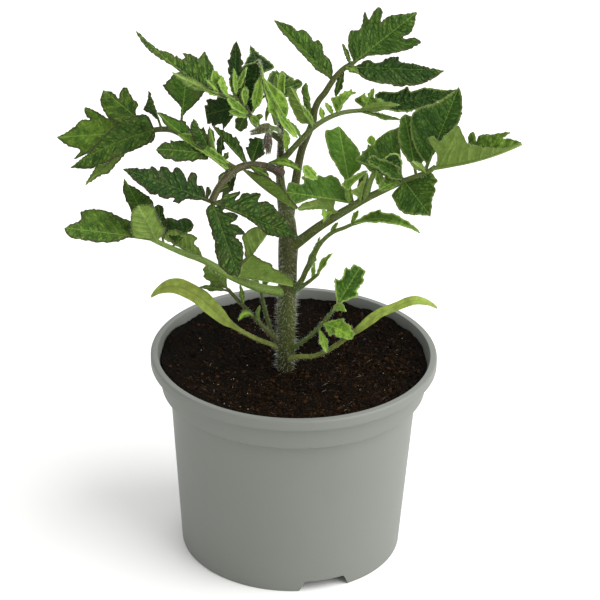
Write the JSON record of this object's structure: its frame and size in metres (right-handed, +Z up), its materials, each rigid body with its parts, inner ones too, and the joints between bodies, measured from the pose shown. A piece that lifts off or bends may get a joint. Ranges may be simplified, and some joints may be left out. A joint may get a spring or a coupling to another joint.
{
  "type": "potted tomato plant",
  "caption": "Young tomato plant with lobed compound leaves, seed leaves and flower buds on an upright stem, rooted in soil in a round tapered plastic pot.",
  "frame": {"origin": "under the middle of the plant's bounding box, on the surface the pot stands on", "axes": "+Z up along the stem, -Y towards the front, +X to the right"},
  "size_m": [0.1622, 0.105, 0.2054],
  "materials": {
    "pot_plastic": "matte moulded plastic, grey-green",
    "soil": "moist crumbly potting soil",
    "stem": "fleshy green-brown stem with fine hairs",
    "leaf": "satin leaf, quilted between its veins",
    "seed_leaf": "smooth yellow-green leaf",
    "bud": "downy green bud"
  },
  "bodies": {
    "root": {"pot": "pot_plastic", "soil": "soil", "main_stem": "stem", "leaf_lower_left": "leaf", "leaf_basal_left": "leaf", "leaf_basal_back": "leaf", "leaf_arching_left": "leaf", "leaf_upper_left": "leaf", "leaf_back_top": "leaf", "leaf_top_right": "leaf", "leaf_upper_right": "leaf", "leaf_right": "leaf", "leaf_axil_right": "leaf", "leaf_basal_right": "leaf", "cotyledon_left": "seed_leaf", "cotyledon_right": "seed_leaf", "flower_buds": "bud"}
  },
  "joints": []
}
